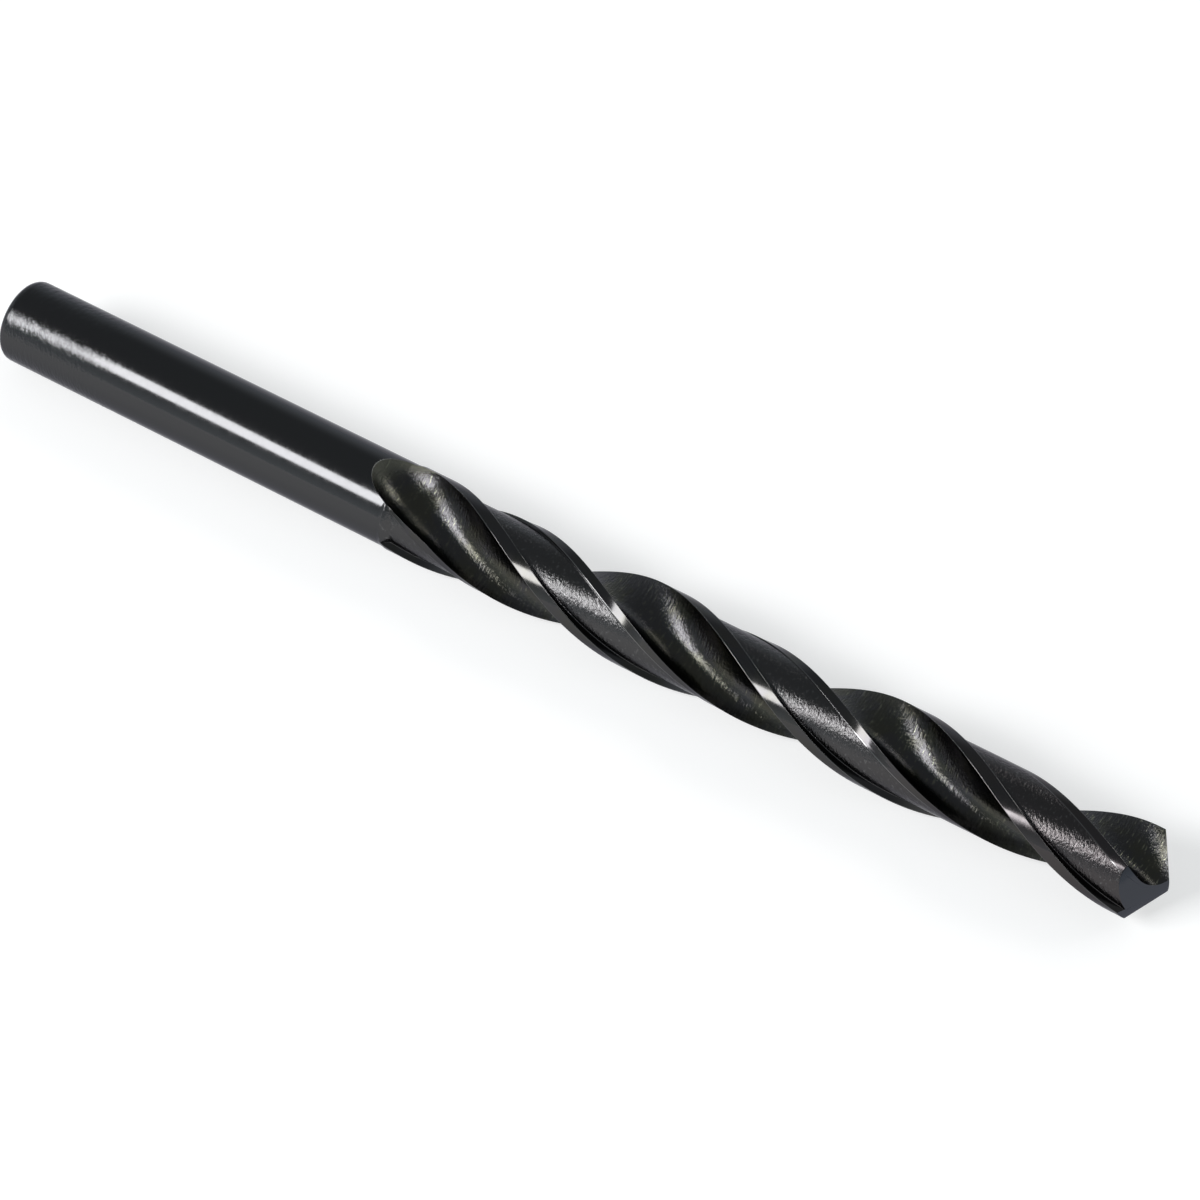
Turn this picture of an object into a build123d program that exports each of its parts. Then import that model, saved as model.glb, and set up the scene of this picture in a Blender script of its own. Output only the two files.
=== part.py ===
from build123d import *

import os
from math import asin, atan2, cos, degrees, radians, sin, sqrt, tan

# Straight-shank twist drill bit, one piece of high-speed steel, in millimetres.
# The axis lies along +X with the point towards +X, +Z is up and the origin is the centre
# of the shank's end face. Angles round the axis run from +Y towards +Z.

# Overall sizes
overall_length = 117.0
drill_diameter = 8.0
shank_diameter = 7.78
shank_end_radius = 0.9

# Where the shank's diameter steps up to the ground body
body_start = 41.6
body_step_length = 0.6

# Flutes: two right-hand helical grooves, cut by a formed wheel
flute_lead = 47.7
web_at_point = 1.5
web_taper = 0.0152
flute_angle = 91.6
heel_wall_angle = 70.0
wheel_centre_angle = 50.0
wheel_angle = 18.0
rake_foot_to_web = 1.06

# Run-out, where the wheel lifts out of the blank. The flute widens towards it
run_out_start = 39.2
run_out_radius = 5.0
flute_widening_end = 47.3
run_out_heel_angle = 101.5
run_out_rake_angle = 3.0

# Heel strip, a shallow relief beside each flute
heel_height_above_web = 2.5
heel_strip_angle = 14.6

# Body clearance, which leaves a narrow margin along each leading edge
margin_angle = 17.2
clearance_diameter = 6.72

# Both reliefs start on a short cone
relief_start = 41.9
relief_ramp_length = 0.7

# Point
point_angle = 118.0
lip_relief_angle = 7.3
flank_radius = 5.8
flank_sweep = 80.0

# How the drill lies: the turn of its cutting corners from the horizontal
corner_turn = 41.0

# How far the cutters reach past the surfaces that they cut
overcut = 0.6
cutter_height = 1.2
strip_reach_inside = 1.5
strip_overlap_angle = 12.0
wheel_lift_arc = 100.0

body_radius = drill_diameter / 2
shank_radius = shank_diameter / 2
clearance_radius = clearance_diameter / 2
half_web_at_point = web_at_point / 2
half_point = radians(point_angle / 2)
turn_per_mm = 360 / flute_lead
settling_steps = 40
wheel_tilt = radians(wheel_angle)

# The lips run parallel to a diameter, half a web away from it
lip_half_length = sqrt(body_radius**2 - half_web_at_point**2)
corner_lead_angle = degrees(asin(half_web_at_point / body_radius))

# Each flank is a round with its summit a little in front of the lip. The flanks meet on the
# axis at the overall length, and the outer corners lie below it
summit_ahead = flank_radius * sin(radians(lip_relief_angle))
summit_rise = flank_radius - sqrt(flank_radius**2 - summit_ahead**2)
flank_fall_at_axis = (
    flank_radius - summit_rise - sqrt(flank_radius**2 - (half_web_at_point + summit_ahead) ** 2)
)
corner_x = overall_length - lip_half_length / tan(half_point) + flank_fall_at_axis / sin(half_point)


def half_web(station):
    """Half the web's thickness, which grows from the point towards the shank."""
    return half_web_at_point + (corner_x - station) * web_taper / 2


# The wheel's rim is at full depth where its plane crosses the drill, and rises ahead of it
run_out_depth = body_radius - half_web(run_out_start)
run_out_length = sqrt(run_out_radius**2 - (run_out_radius - run_out_depth) ** 2)
full_depth_x = run_out_start + run_out_length * cos(wheel_tilt)
blank_length = overall_length + overcut
strip_reach_angle = flute_angle + heel_strip_angle + strip_overlap_angle
cutter_end = overall_length + body_radius


def wheel_turn(station):
    """Turn of the wheel's centre, in degrees, at a station along the axis."""
    return corner_turn + wheel_centre_angle + (station - corner_x) * turn_per_mm


def wheel_plane(station):
    """Plane of the wheel at a station, with its origin on the body's surface.

    The plane's own Y points away from the drill's axis, and its normal leans by the
    wheel's angle from the drill's axis towards the way the helix turns.
    """
    turn = radians(wheel_turn(station))
    outward = Vector(0, cos(turn), sin(turn))
    onward = Vector(cos(wheel_tilt), -sin(turn) * sin(wheel_tilt), cos(turn) * sin(wheel_tilt))
    centre = Vector(station, 0, 0) + outward * body_radius
    return Plane(origin=centre, x_dir=outward.cross(onward), z_dir=onward)


def on_wheel(radius, turn):
    """Point of the wheel's plane that cuts a point of the drill's cross-section.

    The cross-section's point has this radius and this turn from the leading corner.
    A point at a distance b beside the wheel's centre line is b times the sine of the
    wheel's angle further along the drill, so it turns with the lead until it is level.
    """
    beside = 0.0
    for _ in range(settling_steps):
        turn_along = beside * sin(wheel_tilt) * turn_per_mm
        from_centre = radians(turn - wheel_centre_angle - turn_along)
        beside = radius * sin(from_centre) / cos(wheel_tilt)
    return (-beside, radius * cos(from_centre) - body_radius)


def rake_turn(radius, web):
    """Turn of the rake face, from the leading corner, that makes the lip a straight line.

    The lip's point at this radius is turned by the web's offset, and it is nearer to the
    point than the corner is, so the helix turns it back on its way to the cross-section.
    """
    offset_turn = degrees(asin(web / radius) - asin(web / body_radius))
    nearer = (sqrt(body_radius**2 - web**2) - sqrt(radius**2 - web**2)) / tan(half_point)
    return offset_turn - nearer * turn_per_mm


def flute_profile(station, rake_angle, heel_angle):
    """Flute's section on the wheel's plane: rake face, web round and heel wall."""
    web = half_web(station)
    rake_foot_radius = web * rake_foot_to_web
    rake_middle_radius = (body_radius + rake_foot_radius) / 2
    rake_radii = (body_radius + overcut, rake_middle_radius, rake_foot_radius)
    rake_points = [on_wheel(radius, rake_angle + rake_turn(radius, web)) for radius in rake_radii]
    heel_radius = web + heel_height_above_web
    with BuildSketch(wheel_plane(station)) as profile:
        with BuildLine():
            rake = ThreePointArc(*rake_points)
            inward = rake % 1
            heel_edge = Vector(*on_wheel(heel_radius, heel_angle))
            to_heel = heel_edge - (rake @ 1)
            wall = Vector(-cos(radians(heel_wall_angle)), sin(radians(heel_wall_angle)))
            # The round turns from the rake face's end into the wall, which passes the heel's edge
            swing = degrees(atan2(inward.Y, inward.X)) % 360 - (180 - heel_wall_angle)
            across = Vector(-inward.Y, inward.X)
            round_step = inward * sin(radians(swing)) + across * (cos(radians(swing)) - 1)
            web_round_radius = (to_heel.X * wall.Y - to_heel.Y * wall.X) / (
                round_step.X * wall.Y - round_step.Y * wall.X
            )
            web_round = JernArc(rake @ 1, inward, web_round_radius, -swing)
            wall_top = heel_edge + wall * ((cutter_height - heel_edge.Y) / wall.Y)
            Line(web_round @ 1, wall_top)
            Line(wall_top, ((rake @ 0).X, cutter_height))
            Line(((rake @ 0).X, cutter_height), rake @ 0)
        make_face()
    return profile.sketch.face()


def wheel_path(start, end):
    """Helix that the wheel's centre follows on the body's surface."""
    turned = wheel_turn(start)
    path = Helix(
        pitch=flute_lead,
        height=end - start,
        radius=body_radius,
        center=(start, 0, 0),
        direction=(1, 0, 0),
        mode=Mode.PRIVATE,
    )
    begin = path @ 0
    return path.rotate(Axis.X, turned - degrees(atan2(begin.Z, begin.Y)))


run_out_section = flute_profile(full_depth_x, run_out_rake_angle, run_out_heel_angle)
steady_section = flute_profile(flute_widening_end, 0, flute_angle)
point_section = flute_profile(cutter_end, 0, flute_angle)
rim_centre_height = run_out_radius - (body_radius - half_web(full_depth_x))
run_out_plane = wheel_plane(full_depth_x)
wheel_axis = Axis(run_out_plane.from_local_coords((0, rim_centre_height)), run_out_plane.x_dir)

with BuildPart() as flute_cutter:
    sweep(
        sections=[steady_section, point_section],
        path=wheel_path(flute_widening_end, cutter_end),
        is_frenet=True,
        multisection=True,
    )
    sweep(
        sections=[run_out_section, steady_section],
        path=wheel_path(full_depth_x, flute_widening_end),
        is_frenet=True,
        multisection=True,
    )
    revolve(run_out_section, axis=wheel_axis, revolution_arc=wheel_lift_arc)


def strip_profile(station):
    """Heel strip's section on the wheel's plane, from inside the flute to the cleared land."""
    heel_radius = half_web(station) + heel_height_above_web
    heel_edge = Vector(*on_wheel(heel_radius, flute_angle))
    strip_end = Vector(*on_wheel(heel_radius, strip_reach_angle))
    strip_top = Vector(*on_wheel(body_radius + cutter_height, strip_reach_angle))
    inside = heel_edge + (heel_edge - strip_end).normalized() * strip_reach_inside
    with BuildSketch(wheel_plane(station)) as profile:
        with BuildLine():
            Polyline(
                inside,
                strip_end,
                strip_top,
                (strip_top.X, cutter_height),
                (inside.X, cutter_height),
                close=True,
            )
        make_face()
    return profile.sketch.face()


# Metal that both reliefs leave standing: all of it up to their start, then a cone down to
# the cleared core
ramp_end = relief_start + relief_ramp_length
with BuildPart() as relief_core:
    with BuildSketch(Plane.XY):
        with BuildLine():
            Polyline(
                (0, 0),
                (0, drill_diameter),
                (relief_start, drill_diameter),
                (relief_start, body_radius),
                (ramp_end, clearance_radius),
                (cutter_end, clearance_radius),
                (cutter_end, 0),
                close=True,
            )
        make_face()
    revolve(axis=Axis.X)

with BuildPart() as strip_cutter:
    sweep(
        sections=[strip_profile(body_start), strip_profile(cutter_end)],
        path=wheel_path(body_start, cutter_end),
        is_frenet=True,
        multisection=True,
    )
    add(relief_core.part, mode=Mode.SUBTRACT)


def at_turn(radius, turn):
    """Point of a cross-section at this radius and turn."""
    return (radius * cos(radians(turn)), radius * sin(radians(turn)))


# Cleared land, from the margin's foot to the heel strip
leading_turn_at_relief = wheel_turn(relief_start) - wheel_centre_angle
clearance_foot_turn = leading_turn_at_relief - margin_angle
clearance_end_turn = leading_turn_at_relief + flute_angle + heel_strip_angle - 180
clearance_length = cutter_end - relief_start
clearance_top = body_radius + overcut
clearance_bottom = clearance_radius - overcut

with BuildPart() as clearance_cutter:
    with BuildSketch(Plane(origin=(relief_start, 0, 0), x_dir=(0, 1, 0), z_dir=(1, 0, 0))):
        with BuildLine():
            foot = at_turn(clearance_bottom, clearance_foot_turn)
            far_foot = at_turn(clearance_bottom, clearance_end_turn)
            far_top = at_turn(clearance_top, clearance_end_turn)
            top = at_turn(clearance_top, clearance_foot_turn)
            middle_turn = (clearance_foot_turn + clearance_end_turn) / 2
            ThreePointArc(foot, at_turn(clearance_bottom, middle_turn), far_foot)
            Line(far_foot, far_top)
            ThreePointArc(far_top, at_turn(clearance_top, middle_turn), top)
            Line(top, foot)
        make_face()
    guide = Helix(
        pitch=flute_lead,
        height=clearance_length,
        radius=body_radius,
        center=(relief_start, 0, 0),
        direction=(1, 0, 0),
    )
    spine = Line((relief_start, 0, 0), (relief_start + clearance_length, 0, 0))
    sweep(path=spine, binormal=guide.edge())
    add(relief_core.part, mode=Mode.SUBTRACT)

with BuildPart() as twist_drill:
    # Blank: shank, step and body, turned in one
    with BuildSketch(Plane.XY):
        with BuildLine():
            Polyline(
                (0, 0),
                (0, shank_radius),
                (body_start, shank_radius),
                (body_start + body_step_length, body_radius),
                (blank_length, body_radius),
                (blank_length, 0),
                close=True,
            )
        make_face()
        fillet(vertices().sort_by_distance((0, shank_radius))[0], shank_end_radius)
    revolve(axis=Axis.X)
    for half_turn in (0, 180):
        add(clearance_cutter.part, rotation=(half_turn, 0, 0), mode=Mode.SUBTRACT)
        add(strip_cutter.part, rotation=(half_turn, 0, 0), mode=Mode.SUBTRACT)
        add(flute_cutter.part, rotation=(half_turn, 0, 0), mode=Mode.SUBTRACT)
    # Point: each flank is a round that runs along its straight lip and falls away behind it
    for half_turn in (0, 180):
        lip_corner_turn = corner_turn + half_turn
        lip_turn = radians(lip_corner_turn - corner_lead_angle)
        lip_direction = Vector(cos(half_point), -sin(half_point) * cos(lip_turn), -sin(half_point) * sin(lip_turn))
        behind = Vector(0, sin(lip_turn), -cos(lip_turn))
        corner = (corner_x, *at_turn(body_radius, lip_corner_turn))
        with BuildSketch(Plane(origin=corner, x_dir=behind, z_dir=lip_direction)):
            with BuildLine():
                flank = JernArc((-summit_ahead, summit_rise), (1, 0), flank_radius, -flank_sweep)
                Polyline(
                    flank @ 1,
                    ((flank @ 1).X, drill_diameter),
                    (-drill_diameter, drill_diameter),
                    (-drill_diameter, summit_rise),
                    (-summit_ahead, summit_rise),
                )
            make_face()
        extrude(amount=2 * drill_diameter, both=True, mode=Mode.SUBTRACT)

os.makedirs("parts", exist_ok=True)
twist_drill.part.label = "twist_drill"
export_step(twist_drill.part, "parts/twist_drill.step")
print("volume in cubic millimetres", round(twist_drill.part.volume, 2))
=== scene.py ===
import math

import bpy
import numpy as np
from mathutils import Matrix, Vector


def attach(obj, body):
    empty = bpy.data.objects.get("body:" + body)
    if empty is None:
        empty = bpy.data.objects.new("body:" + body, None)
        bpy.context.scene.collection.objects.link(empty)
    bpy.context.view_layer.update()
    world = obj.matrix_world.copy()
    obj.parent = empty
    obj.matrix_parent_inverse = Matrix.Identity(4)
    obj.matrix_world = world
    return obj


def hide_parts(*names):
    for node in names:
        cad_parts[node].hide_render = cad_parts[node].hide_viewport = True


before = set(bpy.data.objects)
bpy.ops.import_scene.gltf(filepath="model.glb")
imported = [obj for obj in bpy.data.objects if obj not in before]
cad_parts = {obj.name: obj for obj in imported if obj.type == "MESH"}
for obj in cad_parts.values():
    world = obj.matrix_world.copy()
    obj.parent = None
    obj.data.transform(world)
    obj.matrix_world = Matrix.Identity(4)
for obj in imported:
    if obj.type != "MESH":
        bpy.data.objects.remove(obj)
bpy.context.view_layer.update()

scene = bpy.context.scene
scene.view_settings.view_transform = "Standard"


# The table: a plain white sheet that the drill lies on. It takes the drill's soft
# shadow, and a little of its own whiteness is added so that it shows as white paper.

body_radius = 0.004

table_mesh = bpy.data.meshes.new("table")
half_table = 1.5
table_mesh.from_pydata(
    [(-half_table, -half_table, -body_radius), (half_table, -half_table, -body_radius),
     (half_table, half_table, -body_radius), (-half_table, half_table, -body_radius)],
    [], [(0, 1, 2, 3)])
table = bpy.data.objects.new("table", table_mesh)
scene.collection.objects.link(table)


def add_node(tree, kind, inputs=None, **settings):
    """A node of this kind with its settings. Each input is a plain value or another node's output."""
    node = tree.nodes.new(kind)
    for name, value in settings.items():
        setattr(node, name, value)
    for socket, value in (inputs or {}).items():
        if isinstance(value, bpy.types.NodeSocket):
            tree.links.new(value, node.inputs[socket])
        else:
            node.inputs[socket].default_value = value
    return node


def combine(tree, operation, first, second):
    """The outcome of one sum on two values."""
    return add_node(tree, "ShaderNodeMath", {0: first, 1: second}, operation=operation).outputs[0]


paper = bpy.data.materials.new("white_paper")
paper.use_nodes = True
tree = paper.node_tree
tree.nodes.clear()
ray = add_node(tree, "ShaderNodeLightPath")
seen = combine(tree, "MAXIMUM", ray.outputs["Is Camera Ray"], ray.outputs["Is Glossy Ray"])
seen = combine(tree, "MAXIMUM", seen, ray.outputs["Is Transmission Ray"])
sheet = add_node(tree, "ShaderNodeBsdfDiffuse", {"Color": (0.6, 0.6, 0.6, 1.0)})
whiteness = add_node(tree, "ShaderNodeEmission", {"Strength": combine(tree, "MULTIPLY", seen, 0.5)})
both = add_node(tree, "ShaderNodeAddShader", {0: sheet.outputs[0], 1: whiteness.outputs[0]})
add_node(tree, "ShaderNodeOutputMaterial", {"Surface": both.outputs[0]})
table_mesh.materials.append(paper)


# The drill: one bar of high-speed steel. It is turned, its two flutes are ground by a tilted
# wheel that lifts out towards the shank, then its margins and point are ground, and the
# whole bar is blackened in steam. All lengths here are millimetres until the mesh is made.

drill_length = 117.0
steel_radius = 4.0
shank_radius = 3.89
cleared_radius = 3.36
shank_end_round = 0.9
step_start, step_end = 41.6, 42.2
relief_start, relief_end = 41.9, 42.6
straight_lines_end = 38.5

lead = 47.7
half_web_at_point = 0.75
web_growth = 0.0076
heel_above_web = 2.5
heel_turn, strip_foot_turn, strip_reach_turn = 91.6, 106.2, 118.2
margin_foot_turn = 162.8
heel_wall_slope = np.radians(70.0)
wheel_middle_turn = 50.0
wheel_tilt = np.radians(18.0)
wheel_rim_radius = 5.0
run_out_start, widening_end = 39.2, 47.3
wide_rake_turn, wide_heel_turn = 3.0, 101.5

half_point = np.radians(59.0)
corner_turn = 41.0
flank_radius = 5.8
lip_relief = np.radians(7.3)

turn_per_mm = 360.0 / lead
summit_ahead = flank_radius * np.sin(lip_relief)
summit_rise = flank_radius * (1 - np.cos(lip_relief))
fall_at_axis = flank_radius - summit_rise - np.sqrt(flank_radius**2 - (half_web_at_point + summit_ahead) ** 2)
lip_half_length = np.sqrt(steel_radius**2 - half_web_at_point**2)
corner_x = drill_length - lip_half_length / np.tan(half_point) + fall_at_axis / np.sin(half_point)


def half_web(station):
    """Half the web's thickness: its value at the point, plus a growth for each millimetre towards the shank."""
    return half_web_at_point + (corner_x - station) * web_growth


run_out_depth = steel_radius - half_web(run_out_start)
full_depth = run_out_start + np.sqrt(wheel_rim_radius**2 - (wheel_rim_radius - run_out_depth) ** 2) * np.cos(wheel_tilt)


def leading_turn(station):
    """Turn of the leading corner from +Y: its turn at the point, less the lead's turn for each millimetre back."""
    return corner_turn + (station - corner_x) * turn_per_mm


def on_wheel(radius, turn):
    """Where a point of the drill's cross-section lies on the wheel's tilted plane, as (beside, above the body).

    Beside is the radius times the sine of the turn from the wheel's middle, over the cosine of the tilt.
    The helix turns the plane's far side, so the turn is settled by repeating that."""
    beside = 0.0 * (radius + turn)
    for _ in range(40):
        from_middle = np.radians(turn - wheel_middle_turn + beside * np.sin(wheel_tilt) * turn_per_mm)
        beside = -radius * np.sin(from_middle) / np.cos(wheel_tilt)
    return beside, radius * np.cos(from_middle) - steel_radius


def off_wheel(station, beside, above):
    """The way back from the wheel's plane: station along the axis, turn from the leading corner, and radius."""
    level = beside * np.cos(wheel_tilt)
    further = beside * np.sin(wheel_tilt)
    turn = wheel_middle_turn - np.degrees(np.arctan2(level, steel_radius + above)) - further * turn_per_mm
    return station + further, turn, np.hypot(level, steel_radius + above)


def rake_turn(radius, web):
    """Turn of the rake face at a radius: the web's offset there, less the helix over the lip's slope."""
    offset = np.degrees(np.arcsin(web / radius) - np.arcsin(web / steel_radius))
    nearer = (np.sqrt(steel_radius**2 - web**2) - np.sqrt(radius**2 - web**2)) / np.tan(half_point)
    return offset - nearer * turn_per_mm


def heel_strip_line(station):
    """The straight section of the strip ground beside the heel, as its two ends on the wheel's plane."""
    heel_radius = half_web(station) + heel_above_web
    return on_wheel(heel_radius, heel_turn), on_wheel(heel_radius, strip_reach_turn)


def flute_curve(station, rake_start, heel_end, rake_share, round_share):
    """The flute's section: rake face from the corner inwards, a round that leaves it smoothly, and a straight wall.

    The round's radius is the one that brings the wall, at its own slope, through the heel's edge."""
    web = half_web(station)
    foot = web * 1.06
    depth = foot + (steel_radius - foot) * (1 - rake_share)
    rake = on_wheel(depth, rake_start + rake_turn(depth, web))
    end_x, end_y = on_wheel(foot, rake_start + rake_turn(foot, web))
    near_x, near_y = on_wheel(foot * 1.002, rake_start + rake_turn(foot * 1.002, web))
    size = np.hypot(end_x - near_x, end_y - near_y)
    in_x, in_y = (end_x - near_x) / size, (end_y - near_y) / size
    heel_x, heel_y = on_wheel(web + heel_above_web, heel_end)
    wall_x, wall_y = -np.cos(heel_wall_slope), np.sin(heel_wall_slope)
    swing = np.arctan2(in_y, in_x) % (2 * np.pi) - (np.pi - heel_wall_slope)
    step_x = in_x * np.sin(swing) - in_y * (np.cos(swing) - 1)
    step_y = in_y * np.sin(swing) + in_x * (np.cos(swing) - 1)
    to_x, to_y = heel_x - end_x, heel_y - end_y
    size = (to_x * wall_y - to_y * wall_x) / (step_x * wall_y - step_y * wall_x)
    bend = swing * round_share
    turned_x = end_x + size * (in_x * np.sin(bend) - in_y * (np.cos(bend) - 1))
    turned_y = end_y + size * (in_y * np.sin(bend) + in_x * (np.cos(bend) - 1))
    return rake, (turned_x, turned_y), (wall_x, wall_y)


# Lines of points along the flute: shares of the rake face down to the chisel edge's end, then
# shares of the way from there round to the heel. Close pairs keep the edges crisp but rounded.
chisel_share = 0.9843
rake_lines = np.concatenate([[0.0, 0.018], np.linspace(0.06, 0.96, 30), [chisel_share]])
heel_lines = np.concatenate([[0.01], np.linspace(0.04, 0.97, 26), [0.985, 0.993, 0.997, 0.999, 1.0]])
chisel_line = len(rake_lines) - 1
heel_line = len(rake_lines) + len(heel_lines) - 1


def flute_section(station):
    """The flute's points on the wheel's plane, one row for each station.

    Between the wheel's full depth and the end of the widening, the section is a mix of the wide and the
    steady one. It stops where it comes out through the heel strip or the cleared land, whichever is higher."""
    station = station[:, None]
    share = np.clip((station - full_depth) / (widening_end - full_depth), 0, 1)
    fine = np.linspace(0, 1, 120)[None]

    def whole_curve(at, rake_start, heel_end):
        """Rake lines, and the finely divided rest of the curve with its wall carried on into the air."""
        rake = flute_curve(at, rake_start, heel_end, rake_lines[None], fine)[0]
        rest_of_rake = chisel_share + (1 - chisel_share) * fine[:, ::12]
        rest, turned, wall = flute_curve(at, rake_start, heel_end, rest_of_rake, fine)
        back = [np.concatenate([rest[i], turned[i][:, 1:], turned[i][:, -1:] + wall[i] * 2.5 * fine[:, 1:]], 1)
                for i in (0, 1)]
        return rake, back

    steady_rake, steady_back = whole_curve(np.maximum(station, widening_end), 0.0, heel_turn)
    wide_rake, wide_back = whole_curve(full_depth + 0 * station, wide_rake_turn, wide_heel_turn)
    rake = [wide_rake[i] + (steady_rake[i] - wide_rake[i]) * share for i in (0, 1)]
    back = [wide_back[i] + (steady_back[i] - wide_back[i]) * share for i in (0, 1)]
    (near_x, near_y), (far_x, far_y) = heel_strip_line(station)
    size = np.hypot(far_x - near_x, far_y - near_y)
    over_strip = ((back[1] - near_y) * (far_x - near_x) - (back[0] - near_x) * (far_y - near_y)) / size
    over_strip = over_strip * np.sign(far_x - near_x)
    over_land = np.hypot(back[0] * np.cos(wheel_tilt), steel_radius + back[1]) - cleared_radius
    over = np.minimum(over_strip, over_land)
    row = np.arange(len(over))
    first = np.argmax(over > 0, 1)
    part = over[row, first - 1] / (over[row, first - 1] - over[row, first])
    run = np.cumsum(np.hypot(np.diff(back[0], prepend=back[0][:, :1]), np.diff(back[1], prepend=back[1][:, :1])), 1)
    length = run[row, first - 1] + part * (run[row, first] - run[row, first - 1])
    heel = [np.stack([np.interp(heel_lines * end, along, curve) for end, along, curve in zip(length, run, back[i])])
            for i in (0, 1)]
    return np.concatenate([rake[0], heel[0]], 1), np.concatenate([rake[1], heel[1]], 1)


def flute_rows(station):
    """Stations, turns and radii of the flute's points, one row for each station of the wheel."""
    beside, above = flute_section(station)
    return off_wheel(station[:, None], beside, above)


def strip_radius(x, turn):
    """Radius of the heel strip at a place, found by sliding along its straight section until station and turn agree."""
    x, turn = np.broadcast_arrays(x, turn)
    station, share = x + 0.7, np.full(x.shape, 0.3)
    for _ in range(14):
        (near_x, near_y), (far_x, far_y) = heel_strip_line(station)
        at, now, radius = off_wheel(station, near_x + (far_x - near_x) * share, near_y + (far_y - near_y) * share)
        little = share + 0.001
        more = off_wheel(station, near_x + (far_x - near_x) * little, near_y + (far_y - near_y) * little)[1]
        share = share + (turn - now) / (more - now) * 0.001
        station = station + (x - at)
    return radius


def blank_radius(x):
    """Radius of the turned blank: the shank, a short cone, then the body."""
    return np.interp(x, [step_start, step_end], [shank_radius, steel_radius])


def land_radius(x):
    """Radius that the clearance leaves: the body, a short cone, then the cleared land."""
    return np.interp(x, [relief_start, relief_end], [steel_radius, cleared_radius])


STRIP, STRIP_FOOT, LAND, MARGIN_FOOT, MARGIN, UNCLEARED = range(6)


def outer_radius(x, turn, kind, share):
    """Radius of the outside at a place of this kind. A foot's wall runs by its share between its two neighbours."""
    blank = blank_radius(x)
    land = np.minimum(blank, land_radius(x))
    strip = np.minimum(blank, np.maximum(land_radius(x), strip_radius(x, np.clip(turn, 88.0, strip_foot_turn))))
    return np.choose(kind, [strip, strip + (land - strip) * share, land, land + (blank - land) * share, blank, blank])


def in_space(x, turn, radius, half):
    """Points in space. Behind the flutes the lines of points stop turning and run straight along the shank."""
    angle = np.radians(turn + half + leading_turn(np.maximum(x, straight_lines_end)))
    return np.stack([x + 0 * angle, radius * np.cos(angle), radius * np.sin(angle)], -1)


# The run-out: the widest section swings up about the wheel's own axle, and each of its lines
# ends where it leaves the metal.
axle_turn = np.radians(leading_turn(full_depth) + wheel_middle_turn)
outward = np.array([0.0, np.cos(axle_turn), np.sin(axle_turn)])
axle = np.array([np.sin(wheel_tilt), np.sin(axle_turn) * np.cos(wheel_tilt), -np.cos(axle_turn) * np.cos(wheel_tilt)])
onward = np.array([np.cos(wheel_tilt), -np.sin(axle_turn) * np.sin(wheel_tilt), np.cos(axle_turn) * np.sin(wheel_tilt)])
axle_height = wheel_rim_radius - (steel_radius - half_web(full_depth))
wide_beside, wide_above = (values[0] for values in flute_section(np.array([full_depth])))


def swung(angle):
    """The widest section after the wheel has swung by an angle: each point keeps its distance from the axle."""
    reach = axle_height - wide_above
    up = steel_radius + axle_height - reach * np.cos(angle)
    return (np.array([full_depth, 0.0, 0.0]) + outward * up[..., None]
            + axle * (wide_beside + 0 * up)[..., None] - onward * (reach * np.sin(angle))[..., None])


def round_the_axis(points):
    """Station, turn from the leading corner and radius of points in space."""
    x = points[..., 0]
    turn = np.degrees(np.arctan2(points[..., 2], points[..., 1])) - leading_turn(np.maximum(x, straight_lines_end))
    return x, (turn + 90) % 360 - 90, np.hypot(points[..., 1], points[..., 2])


def below_skin(angle):
    """Whether each swung point is still under the unfluted skin."""
    x, turn, radius = round_the_axis(swung(angle))
    beside_heel = (turn > heel_turn - 3) & (turn < strip_reach_turn)
    return radius < outer_radius(x, turn, np.where(beside_heel, STRIP, UNCLEARED), 0.0)


trial_angles = np.linspace(0, 1.3, 400)[:, None]
first_out = np.argmax(~below_skin(trial_angles), 0)
low, high = trial_angles[np.maximum(first_out - 1, 0), 0], trial_angles[first_out, 0]
for _ in range(30):
    middle = (low + high) / 2
    under = below_skin(middle)
    low, high = np.where(under, middle, low), np.where(under, high, middle)
lift_angle = (low + high) / 2
lift_angle[[0, -1]] = 0.0
rising = np.concatenate([np.linspace(0, 1, 25)[:-1] ** 0.9, [0.98, 1.0]])[:, None]
run_out = swung(rising * lift_angle)
mouth_x, mouth_turn, _ = round_the_axis(run_out[-1])
widest = int(np.argmax(mouth_turn))

blend_x, blend_turn, blend_radius = flute_rows(np.linspace(full_depth, widening_end, 17))
steady_stations = np.linspace(widening_end, 108.0, 150)
steady_x, steady_turn, steady_radius = flute_rows(steady_stations)

# Lines of points along the outside of the body, from the heel's edge to the next leading corner.
heel_edge_turn = np.concatenate([mouth_turn[widest:-1], blend_turn[:, -1]])
heel_edge_x = np.concatenate([mouth_x[widest:-1], blend_x[:, -1]])
close = 0.8
soft = 2.0
strip_turns = np.concatenate([heel_edge_turn[::-1][1:], [102.4, 103.4, strip_foot_turn - soft, strip_foot_turn - 0.5]])
land_turns = np.concatenate([[strip_foot_turn + 0.5, strip_foot_turn + soft], np.linspace(110, 160, 16),
                             [margin_foot_turn - close, margin_foot_turn]])
margin_turns = np.concatenate([[margin_foot_turn, margin_foot_turn + close], np.linspace(165, 177, 5), [180 - close]])
line_turn = np.concatenate([strip_turns, [strip_foot_turn] * 2, land_turns, [margin_foot_turn] * 2, margin_turns])
line_kind = np.repeat([STRIP, STRIP_FOOT, LAND, MARGIN_FOOT, MARGIN],
                      [len(strip_turns), 2, len(land_turns), 2, len(margin_turns)])
line_share = np.zeros(len(line_turn))
line_share[line_kind == STRIP_FOOT] = [0.25, 0.75]
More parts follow.
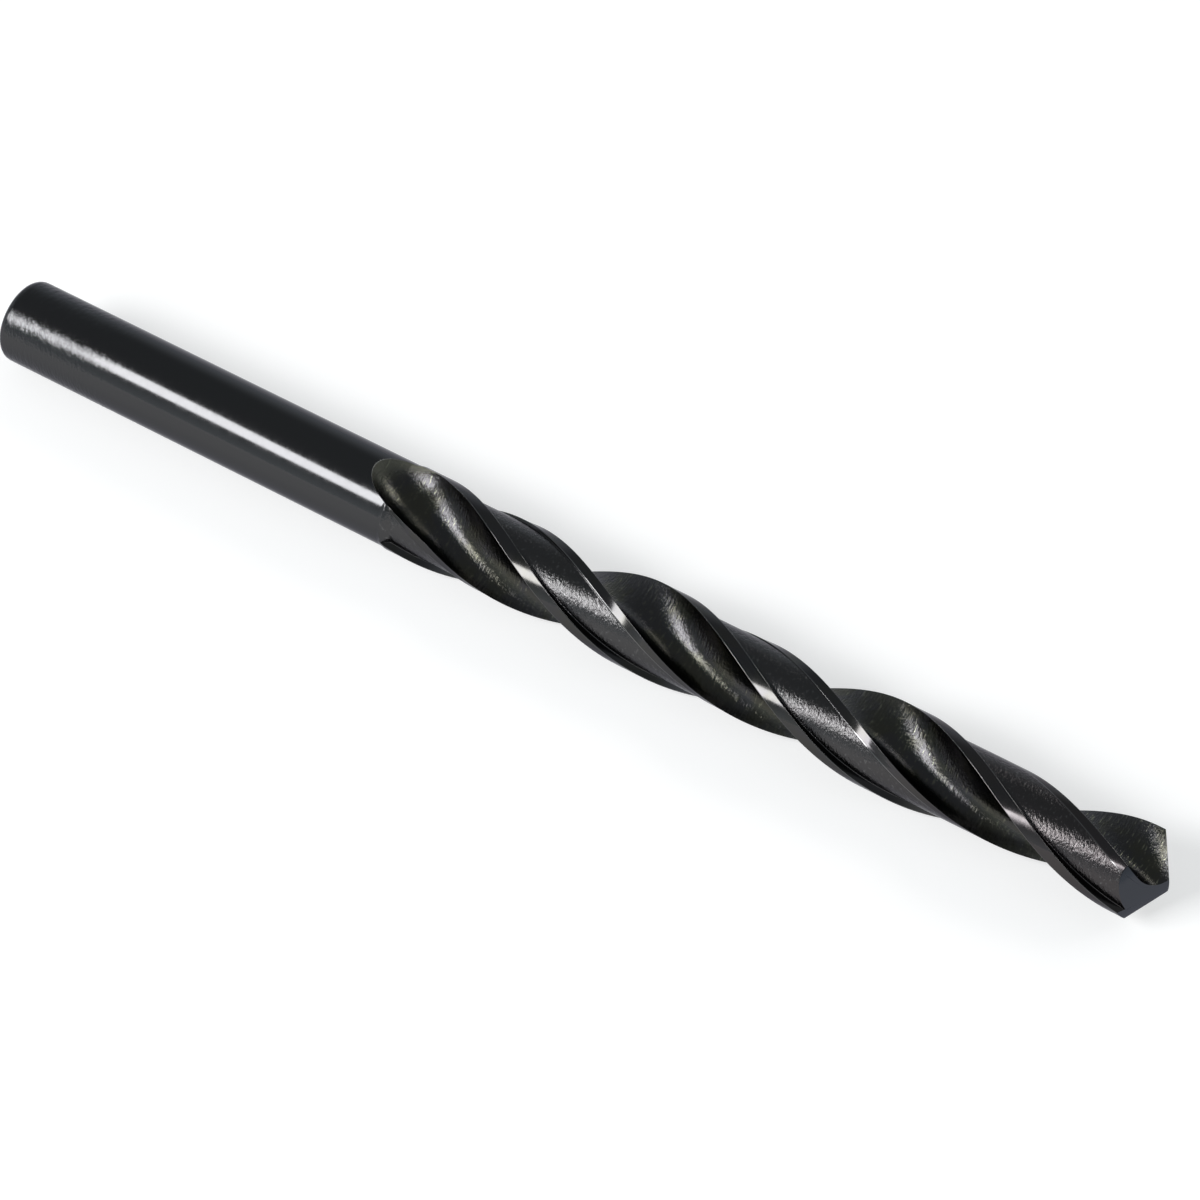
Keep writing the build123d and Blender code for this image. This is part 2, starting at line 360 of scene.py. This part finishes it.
line_share[line_kind == MARGIN_FOOT] = [0.1, 0.9]
still_strip = len(heel_edge_turn) - 1


def outer_rows(station):
    """The outside's points. Each row runs from the heel's edge to the next leading corner, evenly in turn and station."""
    station = np.broadcast_to(station, (len(station), len(line_turn)))
    fine = np.linspace(47.0, 122.0, 400)
    flute_x, flute_turn, _ = flute_rows(fine)
    heel_x, heel_at, corner = (np.interp(station, fine, values)
                               for values in (flute_x[:, -1], flute_turn[:, -1], flute_x[:, 0]))
    squeezed = heel_at + (line_turn - heel_turn) * (strip_foot_turn - heel_at) / (strip_foot_turn - heel_turn)
    turn = np.where(line_kind == STRIP, squeezed, line_turn)
    x = heel_x + (corner - heel_x) * (turn - heel_at) / (180 - heel_at)
    return x, turn, outer_radius(x, turn, line_kind, line_share)


def outside_flank(points, half):
    """How far points lie outside the flank of one lip: a round along the lip, level in front of its summit."""
    lip = np.radians(corner_turn + half - np.degrees(np.arcsin(half_web_at_point / steel_radius)))
    behind = np.array([0.0, np.sin(lip), -np.cos(lip)])
    rise = np.array([np.sin(half_point), np.cos(half_point) * np.cos(lip), np.cos(half_point) * np.sin(lip)])
    turn = np.radians(corner_turn + half)
    corner = np.array([corner_x, steel_radius * np.cos(turn), steel_radius * np.sin(turn)])
    back = (points - corner) @ behind + summit_ahead
    over = (points - corner) @ rise - summit_rise
    return np.where(back > 0, np.hypot(back, over + flank_radius) - flank_radius, over)


def flank_x(y, z, half):
    """Station of one flank's surface over a point of the cross-section, by halving."""
    low, high = np.full(y.shape, 105.0), np.full(y.shape, 121.0)
    for _ in range(40):
        middle = (low + high) / 2
        under = outside_flank(np.stack([middle, y, z], -1), half) < 0
        low, high = np.where(under, middle, low), np.where(under, high, middle)
    return (low + high) / 2


point_stations = np.linspace(108.0, 121.0, 90)
steady_rows = [np.concatenate(pair, 1) for pair in
               zip((steady_x, steady_turn, steady_radius), outer_rows(steady_stations[:, None]))]
point_rows = [np.concatenate(pair, 1) for pair in zip(flute_rows(point_stations), outer_rows(point_stations[:, None]))]


def body_lines(half):
    """All lines of points of one half of the body, each running on until it comes out through a flank."""
    over = np.maximum(outside_flank(in_space(*point_rows, half), 0), outside_flank(in_space(*point_rows, half), 180))
    line = np.arange(over.shape[1])
    first = np.argmax(over > 0, 0)
    slope = over[first, line] - over[first - 1, line]
    end = first - over[first, line] / slope
    for _ in range(6):
        row = np.floor(end).astype(int)
        tip = in_space(*[grid[row, line] + (grid[row + 1, line] - grid[row, line]) * (end - row)
                         for grid in point_rows], half)
        still = np.maximum(outside_flank(tip, 0), outside_flank(tip, 180))
        end = np.clip(end - still / slope, 0, len(point_stations) - 2)
    at = np.concatenate([np.linspace(0, 1, 22)[1:-1], [0.993, 1.0]])[:, None] * end
    row = np.minimum(np.floor(at).astype(int), len(point_stations) - 2)
    ending = [np.take_along_axis(grid, row, 0) * (1 - at + row) + np.take_along_axis(grid, row + 1, 0) * (at - row)
              for grid in point_rows]
    return in_space(*[np.concatenate(pair, 0) for pair in zip(steady_rows, ending)], half)


def relief_stations(turn, kind):
    """Stations of the rings from the straight shank to the steady flutes, with one at each cone's ends."""
    strip_crest = np.full(turn.shape, 42.27)
    for _ in range(20):
        strip_here = strip_radius(strip_crest, np.clip(turn, 88.0, strip_foot_turn))
        strip_crest = np.interp(-strip_here, [-steel_radius, -cleared_radius], [relief_start, relief_end])
    crest = np.choose(kind, [strip_crest, strip_crest, relief_end + 0 * turn, step_end + 0 * turn,
                             step_end + 0 * turn, step_end + 0 * turn])
    last = np.where(turn < 90, blend_x[-1, 0],
                    blend_x[-1, -1] + (blend_x[-1, 0] - blend_x[-1, -1]) * (turn - heel_turn) / (180 - heel_turn))
    meeting = mouth_x[widest]
    relief_edge = 41.95
    to_step = np.sort(np.concatenate([np.linspace(straight_lines_end, meeting, 16), np.linspace(meeting, step_start, 9)[1:],
                                      step_start + np.array([-0.05, 0.05])]))
    fixed = np.concatenate([to_step, [41.8, relief_edge]])[:, None] + 0 * turn
    cone = relief_edge + (crest - relief_edge) * np.array([0.5, 0.85, 1.0])[:, None]
    body = crest + 0.06 + (last - crest - 0.06) * np.linspace(0, 1, 24)[:, None]
    return np.concatenate([fixed, cone, body], 0)


sheets = []
mask_names = ("fluted", "run_out", "cleared", "flank", "edge")


def lay_sheet(points, along, across, turned_over, **masks):
    """Keeps a grid of points, with its two surface lengths and what the finish has to know about each point."""
    shape = points.shape[:2]
    layers = [np.broadcast_to(values, shape).reshape(-1)
              for values in (across, along, *(masks.get(name, 0.0) for name in mask_names))]
    sheets.append((points, np.stack(layers, -1), turned_over))


def grid_edge(shape, first_line=False, last_line=False, first_row=False, last_row=False):
    """A mask that is 1 on the named sides of a grid and 0 elsewhere."""
    mask = np.zeros(shape)
    mask[:, 0] = np.maximum(mask[:, 0], first_line)
    mask[:, -1] = np.maximum(mask[:, -1], last_line)
    mask[0] = np.maximum(mask[0], first_row)
    mask[-1] = np.maximum(mask[-1], last_row)
    return mask


def length_across(points):
    """Length along each row of a grid of points."""
    step = np.linalg.norm(np.diff(points, axis=1), axis=-1)
    return np.concatenate([np.zeros((len(points), 1)), np.cumsum(step, 1)], 1)


lines_of = {half: body_lines(half) for half in (0, 180)}
flute_lines = heel_line + 1
edge_of_kind = np.zeros(len(line_turn))
edge_of_kind[[np.nonzero(line_kind == STRIP)[0][-1], np.nonzero(line_kind == MARGIN)[0][0]]] = 1.0

for half in (0, 180):
    own, other = lines_of[half], lines_of[180 - half]
    half_turn = np.array([1.0, 1.0, 1.0]) if half == 0 else np.array([1.0, -1.0, -1.0])

    # Flute: where the wheel swings out, where it narrows, and the steady length up to the point
    arcs = run_out * half_turn
    narrowing = in_space(blend_x, blend_turn, blend_radius, half)
    steady = own[:, :flute_lines]
    mouth = grid_edge(arcs.shape[:2], last_row=True)
    lay_sheet(arcs, arcs[..., 0], length_across(arcs), False, fluted=1.0, run_out=rising, edge=mouth)
    sides = grid_edge(narrowing.shape[:2], first_line=True, last_line=True)
    lay_sheet(narrowing, narrowing[..., 0], length_across(narrowing), True, fluted=1.0, edge=sides)
    sides = grid_edge(steady.shape[:2], first_line=True, last_line=True)
    lay_sheet(steady, steady[..., 0], length_across(steady), True, fluted=1.0, edge=sides)

    # Outside of the body: heel strip, cleared land and margin
    skin = np.concatenate([own[:, heel_line:], other[:, :1]], 1)
    cleared = np.concatenate([[0.0], (line_kind == LAND) * 1.0, [0.0]])
    sides = np.maximum(grid_edge(skin.shape[:2], first_line=True, last_line=True),
                       np.concatenate([[0.0], edge_of_kind, [0.0]]))
    lay_sheet(skin, skin[..., 0], length_across(skin), True, cleared=cleared, edge=sides)

    # Shank side of the flute's mouth
    turn = np.concatenate([blend_turn[::-1, 0], mouth_turn[1:widest + 1]])
    end_x = np.concatenate([blend_x[::-1, 0], mouth_x[1:widest + 1]])
    kind = np.where(turn < heel_turn, UNCLEARED, STRIP)
    stations = relief_stations(turn, kind)
    x = np.minimum(stations, end_x - 0.04)
    x[:, -1] = np.minimum(stations[:, -1], end_x[-1])
    x[:, 0] = stations[:, 0]
    ahead = in_space(x, turn, outer_radius(x, turn, kind, 0.0), half)
    end_points = np.concatenate([narrowing[::-1, 0], arcs[-1, 1:widest + 1]])
    ahead = np.concatenate([ahead, end_points[None]], 0)
    ahead[-2, 0] = ahead[-1, 0]
    lay_sheet(ahead, ahead[..., 0], turn * 0.07, True, edge=grid_edge(ahead.shape[:2], last_row=True))

    # From the mouth's widest turn round to the next flute
    turn = np.concatenate([[mouth_turn[widest]], line_turn[still_strip:], [180.0]])
    kind = np.concatenate([[STRIP], line_kind[still_strip:], [MARGIN]])
    share = np.concatenate([[0.0], line_share[still_strip:], [0.0]])
    x = relief_stations(turn, kind)
    between = in_space(x, turn, outer_radius(x, turn, kind, share), half)
    meeting_row = int(np.argmin(np.abs(x[:, 0] - mouth_x[widest])))
    between[meeting_row, 0] = arcs[-1, widest]
    between[-1] = np.concatenate([own[0, heel_line + still_strip:], other[0, :1]])
    lay_sheet(between, between[..., 0], turn * 0.07, True, cleared=(kind == LAND) * (x > relief_start))

    # Heel side of the flute's mouth
    stations = relief_stations(heel_edge_turn, np.full(len(heel_edge_turn), STRIP))
    x = np.minimum(np.maximum(stations, heel_edge_x + 0.04), stations[-1])
    x[:, 0] = stations[:, 0]
    behind = in_space(x, heel_edge_turn, outer_radius(x, heel_edge_turn, np.full(len(heel_edge_turn), STRIP), 0.0), half)
    edge_points = np.concatenate([arcs[-1, widest:-1], narrowing[:, -1]])
    behind = np.concatenate([edge_points[None], behind], 0)
    behind[:meeting_row + 2, 0] = edge_points[0]
    behind[-1] = own[0, heel_line:heel_line + len(heel_edge_turn)][::-1]
    lay_sheet(behind, behind[..., 0], heel_edge_turn * 0.07, False, edge=grid_edge(behind.shape[:2], first_row=True))

    # Shank: end face, round and cylinder
    ring = np.concatenate([ahead[0], between[0, 1:]], 0)
    angle = np.arctan2(ring[:, 2], ring[:, 1])
    bend = np.linspace(0, np.pi / 2, 9)
    shank_x = np.concatenate([np.zeros(5), shank_end_round * (1 - np.cos(bend)), [1.0],
                              np.linspace(3.0, straight_lines_end, 14)])
    shank_r = np.concatenate([[0.0, 0.2, 1.5, 2.8, 2.94], shank_radius - shank_end_round * (1 - np.sin(bend)),
                              np.full(15, shank_radius)])
    shank = np.stack([shank_x[:, None] + 0 * angle, shank_r[:, None] * np.cos(angle), shank_r[:, None] * np.sin(angle)], -1)
    shank[-1] = ring
    lay_sheet(shank, shank[..., 0] - (shank_radius - shank_r)[:, None], np.unwrap(angle) * shank_radius, True)

    # Flank behind the other half's lip: a patch between the heel's wall, the lip, the skin and the chisel edge
    wall_side, lip_side, rim = own[-1, chisel_line:flute_lines], other[-1, chisel_line::-1], skin[-1]
    across = np.linspace(0, 1, len(rim))[:, None]
    chisel = wall_side[0, 1:] + (lip_side[0, 1:] - wall_side[0, 1:]) * across
    aside = np.array([-1.0, 1.0]) * (lip_side[0] - wall_side[0])[:0:-1]
    aside = aside / np.hypot(*aside)

    def flank_gap(shift):
        """Difference of the two flanks' stations beside the straight line between the chisel edge's ends."""
        y, z = (chisel + aside * shift[:, None]).T
        return flank_x(y, z, 0) - flank_x(y, z, 180)

    low, high = np.full(len(rim), -0.3), np.full(len(rim), 0.3)
    side = np.sign(flank_gap(low))
    for _ in range(30):
        middle = (low + high) / 2
        same = np.sign(flank_gap(middle)) == side
        low, high = np.where(same, middle, low), np.where(same, high, middle)
    shift = (low + high) / 2
    shift[[0, -1]] = 0.0
    chisel = chisel + aside * shift[:, None]
    u, v = across[None], np.linspace(0, 1, len(wall_side))[:, None, None]
    corners_part = ((1 - u) * (1 - v) * chisel[0] + u * (1 - v) * chisel[-1] + (1 - u) * v * rim[0, 1:] + u * v * rim[-1, 1:])
    flat = ((1 - v) * chisel[None] + v * rim[None, :, 1:] + (1 - u) * wall_side[:, None, 1:]
            + u * lip_side[:, None, 1:] - corners_part)
    flank = np.concatenate([flank_x(flat[..., 0], flat[..., 1], 180 - half)[..., None], flat], -1)
    flank[:, 0], flank[:, -1], flank[-1] = wall_side, lip_side, rim
    flank[0, 1:-1, 0] = np.minimum(flank_x(*chisel.T, 0), flank_x(*chisel.T, 180))[1:-1]
    lay_sheet(flank, flank[..., 1], flank[..., 2], False, flank=1.0)

# All sheets become one closed skin: points that meet are one, and faces of no area are dropped.
counts = [points.shape[0] * points.shape[1] for points, _, _ in sheets]
starts = np.concatenate([[0], np.cumsum(counts)[:-1]])
corner_numbers = []
for (points, _, turned_over), start in zip(sheets, starts):
    number = np.arange(points.shape[0] * points.shape[1]).reshape(points.shape[:2]) + start
    quads = np.stack([number[:-1, :-1], number[1:, :-1], number[1:, 1:], number[:-1, 1:]], -1).reshape(-1, 4)
    corner_numbers.append(quads[:, ::-1] if turned_over else quads)
quads = np.concatenate(corner_numbers)
all_points = np.concatenate([points.reshape(-1, 3) for points, _, _ in sheets])
all_layers = np.concatenate([layers for _, layers, _ in sheets])
_, first_number, joined_number = np.unique(np.round(all_points, 4), axis=0, return_index=True, return_inverse=True)
joined = joined_number.reshape(-1)[quads]
same_as_next = joined == np.roll(joined, -1, 1)
lost = same_as_next.sum(1)
crossed = (joined[:, 0] == joined[:, 2]) | (joined[:, 1] == joined[:, 3])
whole = (lost == 0) & ~crossed
three = (lost == 1) & ~crossed
keep = ~same_as_next[three]
corner_points = np.concatenate([joined[whole].reshape(-1), joined[three][keep]])
corner_layers = np.concatenate([all_layers[quads[whole].reshape(-1)], all_layers[quads[three][keep]]])
face_sizes = np.concatenate([np.full(whole.sum(), 4), np.full(three.sum(), 3)])

skin_mesh = bpy.data.meshes.new("drill_bar")
skin_mesh.vertices.add(len(first_number))
skin_mesh.vertices.foreach_set("co", (all_points[first_number] * 0.001).reshape(-1))
skin_mesh.loops.add(len(corner_points))
skin_mesh.loops.foreach_set("vertex_index", corner_points)
skin_mesh.polygons.add(len(face_sizes))
skin_mesh.polygons.foreach_set("loop_start", np.concatenate([[0], np.cumsum(face_sizes)[:-1]]))
skin_mesh.update(calc_edges=True)
surface_lengths = skin_mesh.uv_layers.new(name="surface_lengths")
surface_lengths.data.foreach_set("uv", corner_layers[:, :2].reshape(-1))
for number, name in enumerate(mask_names, 2):
    layer = skin_mesh.attributes.new(name, "FLOAT", "CORNER")
    layer.data.foreach_set("value", corner_layers[:, number])
skin_mesh.validate()
skin_mesh.shade_smooth()

drill = bpy.data.objects.new("drill_bar", skin_mesh)
scene.collection.objects.link(drill)

oxide = bpy.data.materials.new("black_oxide_steel")
oxide.use_nodes = True
tree = oxide.node_tree
tree.nodes.clear()


def noise(vector, scale, detail=2.0, roughness=0.5, stretch=(1.0, 1.0, 1.0), turn=0.0):
    """Cloudy noise from 0 to 1 around a half, of this many grains a millimetre, stretched and turned first."""
    placed = add_node(tree, "ShaderNodeMapping", {"Vector": vector, "Scale": stretch, "Rotation": (0.0, 0.0, turn)})
    return add_node(tree, "ShaderNodeTexNoise", {"Vector": placed.outputs[0], "Scale": scale, "Detail": detail,
                                                 "Roughness": roughness}).outputs["Fac"]


def ramp(value, low, high, at_low=0.0, at_high=1.0, smooth=True):
    """The value carried from one range to another, and held at its ends."""
    return add_node(tree, "ShaderNodeMapRange", {"Value": value, "From Min": low, "From Max": high, "To Min": at_low,
                                                 "To Max": at_high},
                    interpolation_type="SMOOTHSTEP" if smooth else "LINEAR").outputs[0]


def mask(name):
    """One of the finish's masks that the skin carries at its corners."""
    return add_node(tree, "ShaderNodeAttribute", attribute_name=name).outputs["Fac"]


def between_colours(share, first, second):
    """A colour on the way between two."""
    return add_node(tree, "ShaderNodeMix", {0: share, 6: first, 7: second}, data_type="RGBA").outputs[2]


fluted, run_out_share, cleared, flank, edge = (mask(name) for name in mask_names)
lengths = add_node(tree, "ShaderNodeUVMap", uv_map="surface_lengths").outputs[0]
in_metres = add_node(tree, "ShaderNodeTexCoord").outputs["Object"]
place = add_node(tree, "ShaderNodeVectorMath", {0: in_metres, "Scale": 1000.0}, operation="SCALE").outputs[0]
along = add_node(tree, "ShaderNodeSeparateXYZ", {0: place}).outputs["X"]

# Relief in thousandths of a millimetre. The flute wheel leaves short scratches across the flute,
# the cleared land is grainy, the shank shows faint turning lines, and its first centimetre is
# dented by a chuck.
held = ramp(along, 8.0, 15.0, 1.0, 0.0)
at_mouth = ramp(run_out_share, 0.5, 0.92)
wheel_marks = noise(lengths, 1.0, 3.0, 0.62, (0.9, 5.2, 1.0), 0.25)
flute_grain = noise(place, 4.0, 3.0, 0.62)
grain_height = combine(tree, "ADD", combine(tree, "MULTIPLY", at_mouth, 30.0), 28.0)
flute_relief = combine(tree, "ADD", combine(tree, "MULTIPLY", wheel_marks, 46.0),
                       combine(tree, "MULTIPLY", flute_grain, grain_height))
land_marks = noise(lengths, 1.0, 3.0, 0.62, (2.0, 3.8, 1.0), 0.5)
land_relief = combine(tree, "MULTIPLY", land_marks, 66.0)
chuck_dents = combine(tree, "MULTIPLY", noise(place, 1.0, 4.0, 0.66, (2.6, 0.8, 0.8)), 80.0)
turning_lines = combine(tree, "MULTIPLY", noise(place, 1.0, 2.0, 0.5, (4.0, 0.12, 0.12)), 1.2)
all_relief = combine(tree, "ADD", turning_lines, combine(tree, "MULTIPLY", held, chuck_dents))
all_relief = combine(tree, "ADD", all_relief, combine(tree, "MULTIPLY", fluted, flute_relief))
all_relief = combine(tree, "ADD", all_relief, combine(tree, "MULTIPLY", cleared, land_relief))
relief = add_node(tree, "ShaderNodeBump", {"Height": all_relief, "Strength": 1.0, "Distance": 0.000001})

# The oxide's colour: a cool black on the shank, darker on the body with olive and purple clouds,
# brown on the lands towards the point and blue on the flanks. At the flute's mouth it is lighter,
# a painted lit band on the run-out wall. On edges and wheel marks it is lighter too, partly
# where the oxide is thin and partly as painted highlights and glints.
smoke = noise(place, 0.3, 3.0, 0.6)
body_oxide = between_colours(ramp(smoke, 0.40, 0.62), (0.056, 0.055, 0.058, 1.0), (0.057, 0.056, 0.053, 1.0))
body_oxide = between_colours(cleared, body_oxide, (0.064, 0.063, 0.064, 1.0))
body_oxide = between_colours(ramp(along, 80.0, 108.0, 0.0, 0.6), body_oxide, (0.060, 0.053, 0.054, 1.0))
flute_oxide_and_painted_lit_band = between_colours(ramp(smoke, 0.42, 0.62), (0.053, 0.052, 0.054, 1.0), (0.056, 0.055, 0.046, 1.0))
# Lighter at the flute's mouth: a painted lit band on the run-out wall.
flute_oxide_and_painted_lit_band = between_colours(at_mouth, flute_oxide_and_painted_lit_band, (0.095, 0.094, 0.078, 1.0))
oxide_and_painted_highlights = between_colours(ramp(along, 41.6, 42.6), (0.058, 0.058, 0.060, 1.0), body_oxide)
oxide_and_painted_highlights = between_colours(fluted, oxide_and_painted_highlights, flute_oxide_and_painted_lit_band)
oxide_and_painted_highlights = between_colours(flank, oxide_and_painted_highlights, (0.050, 0.053, 0.062, 1.0))
# Light flecks along the wheel marks: partly bare steel where the oxide is scratched through, partly painted glints.
bare_scratches_and_painted_glints_in_flute = combine(tree, "MULTIPLY", fluted, ramp(wheel_marks, 0.58, 0.70))
bare_scratches_and_painted_glints_in_flute = combine(tree, "MULTIPLY", bare_scratches_and_painted_glints_in_flute, ramp(along, 100.0, 112.0, 0.5, 1.0))
oxide_and_painted_highlights = between_colours(bare_scratches_and_painted_glints_in_flute, oxide_and_painted_highlights, (0.20, 0.20, 0.15, 1.0))
# Light specks on the cleared land: partly bare steel, partly painted glints.
bare_specks_and_painted_glints_on_land = combine(tree, "MULTIPLY", cleared, ramp(land_marks, 0.58, 0.70, 0.0, 0.5))
oxide_and_painted_highlights = between_colours(bare_specks_and_painted_glints_on_land, oxide_and_painted_highlights, (0.20, 0.20, 0.20, 1.0))
# Lighter edges: partly oxide rubbed off, partly a painted highlight where a rounded edge would catch the light.
oxide_and_painted_highlights = between_colours(combine(tree, "MULTIPLY", edge, 0.6), oxide_and_painted_highlights, (0.26, 0.26, 0.26, 1.0))

gloss = ramp(noise(place, 1.4, 4.0, 0.6), 0.3, 0.7, 0.12, 0.17)
gloss = combine(tree, "ADD", gloss, combine(tree, "MULTIPLY", fluted, 0.02))
gloss = combine(tree, "ADD", gloss, combine(tree, "MULTIPLY", cleared, 0.05))
gloss = combine(tree, "ADD", gloss, combine(tree, "MULTIPLY", at_mouth, 0.20))

steel = add_node(tree, "ShaderNodeBsdfPrincipled", {"Base Color": oxide_and_painted_highlights, "Metallic": 1.0, "Roughness": gloss,
                                                    "Specular Tint": (0.60, 0.60, 0.63, 1.0),
                                                    "Normal": relief.outputs[0]})
add_node(tree, "ShaderNodeOutputMaterial", {"Surface": steel.outputs[0]})
skin_mesh.materials.append(oxide)

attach(drill, "root")
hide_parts("twist_drill")


# The light: a bright soft box to the left of the camera and a dimmer, warmer one behind the
# drill, in a room that is pale at table height and dark overhead.

def soft_box(name, towards, distance, width, height, brightness, colour):
    """A rectangular lamp that faces the middle of the drill, of this brightness per area."""
    middle = Vector((0.06, 0.0, 0.0))
    lamp_data = bpy.data.lights.new(name, "AREA")
    lamp_data.shape = "RECTANGLE"
    lamp_data.size = width
    lamp_data.size_y = height
    lamp_data.energy = brightness * math.pi * width * height
    lamp_data.color = colour
    lamp = bpy.data.objects.new(name, lamp_data)
    direction = Vector(towards).normalized()
    lamp.matrix_world = Matrix.Translation(middle + direction * distance) @ direction.to_track_quat("Z", "Y").to_matrix().to_4x4()
    scene.collection.objects.link(lamp)
    return lamp


soft_box("window_box", (-0.46, -0.65, 0.605), 0.9, 0.55, 0.29, 14.0, (1.0, 1.0, 1.0))
soft_box("back_box", (0.36, 0.70, 0.62), 0.9, 0.60, 0.26, 3.5, (1.0, 0.98, 0.95))

room = bpy.data.worlds.new("room")
scene.world = room
room.use_nodes = True
tree = room.node_tree
tree.nodes.clear()
towards = add_node(tree, "ShaderNodeTexCoord").outputs["Generated"]
height = add_node(tree, "ShaderNodeSeparateXYZ", {0: towards}).outputs["Z"]
paleness = add_node(tree, "ShaderNodeMapRange", {"Value": height, "From Min": 0.0, "From Max": 0.65, "To Min": 0.85,
                                                 "To Max": 0.26}, interpolation_type="SMOOTHSTEP").outputs[0]
sky = add_node(tree, "ShaderNodeBackground", {"Color": (0.92, 1.0, 1.04, 1.0), "Strength": paleness})
add_node(tree, "ShaderNodeOutputWorld", {"Surface": sky.outputs[0]})


# The camera: a long lens that looks down on the drill from its near right, as in the
# photograph.

lens = bpy.data.cameras.new("camera")
lens.lens = 130.5
lens.sensor_width = 36.0
lens.clip_start = 0.01
lens.clip_end = 10.0
camera = bpy.data.objects.new("camera", lens)
right = Vector((0.8391, 0.5440, 0.0))
up = Vector((-0.4150, 0.6400, 0.6467))
back = right.cross(up)
place = Vector((0.19255, -0.20112, 0.28325))
camera.matrix_world = Matrix((
    (right.x, up.x, back.x, place.x),
    (right.y, up.y, back.y, place.y),
    (right.z, up.z, back.z, place.z),
    (0.0, 0.0, 0.0, 1.0)))
scene.collection.objects.link(camera)
scene.camera = camera
